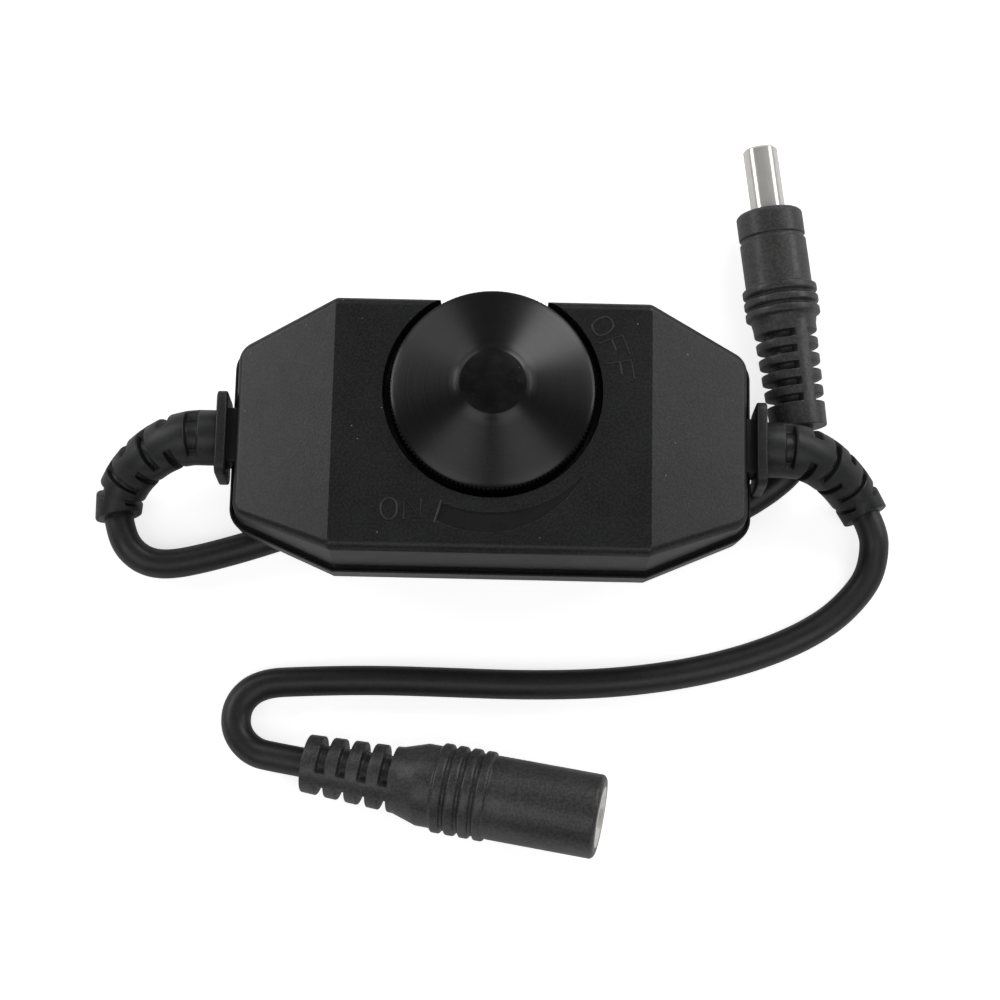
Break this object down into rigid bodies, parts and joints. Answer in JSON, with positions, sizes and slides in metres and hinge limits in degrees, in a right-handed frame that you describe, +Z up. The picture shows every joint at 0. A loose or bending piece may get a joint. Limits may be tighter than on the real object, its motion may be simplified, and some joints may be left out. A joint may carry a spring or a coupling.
{
  "type": "rotary dimmer",
  "caption": "In-line rotary dimmer for a low-voltage lighting strip: a flat black housing with a knurled knob, a lead with a plug at one end and a lead with a socket at the other.",
  "frame": {"origin": "on the surface that the dimmer lies on, under the middle of the housing's plan", "axes": "+X along the housing from the input end to the output end, +Y to the side where the knob reaches past the housing, +Z up along the knob's axis"},
  "size_m": [0.1254, 0.1149, 0.0296],
  "materials": {
    "housing_black": "fine-grained matt moulding",
    "knob_black": "spun satin, turned rings",
    "relief_black": "fine-grained flexible moulding",
    "lead_black": "smooth jacket with a soft shine",
    "plug_black": "smooth satin flexible moulding",
    "nickel": "bright nickel plate",
    "contact_brass": "bright",
    "insulator_black": "plain",
    "steel": "zinc plate",
    "shaft_aluminium": "turned",
    "board_green": "solder mask",
    "chip_black": "moulded package",
    "capacitor_can": "satin can",
    "resistor_tan": "lacquer",
    "wire_red": "insulated wire",
    "wire_black": "insulated wire"
  },
  "bodies": {
    "housing": {"top_shell": "housing_black", "bottom_shell": "housing_black", "housing_screw_1": "steel", "housing_screw_2": "steel", "housing_screw_3": "steel", "housing_screw_4": "steel", "circuit_board": "board_green", "potentiometer_body": "steel", "potentiometer_bushing": "contact_brass", "bushing_washer": "steel", "bushing_nut": "steel", "power_transistor": "chip_black", "control_chip": "chip_black", "capacitor": "capacitor_can", "diode": "chip_black", "resistor_1": "resistor_tan", "resistor_2": "resistor_tan", "resistor_3": "resistor_tan", "input_wire_1": "wire_red", "input_wire_2": "wire_black", "output_wire_1": "wire_red", "output_wire_2": "wire_black", "strain_relief_left": "relief_black", "strain_relief_right": "relief_black", "plug_lead": "lead_black", "socket_lead": "lead_black", "plug_moulding": "plug_black", "plug_barrel": "nickel", "plug_insulator": "insulator_black", "plug_inner_contact": "contact_brass", "socket_moulding": "plug_black", "socket_shell": "nickel", "socket_insulator": "insulator_black", "socket_pin": "nickel", "socket_spring": "contact_brass"},
    "knob": {"knob": "knob_black", "potentiometer_shaft": "shaft_aluminium"}
  },
  "joints": [
    {"name": "knob_turn", "type": "hinge", "parent": "housing", "child": "knob", "pos_m": [0, 0.0052, 0.0245], "axis": [0, 0, -1], "range_deg": [0, 280]}
  ]
}
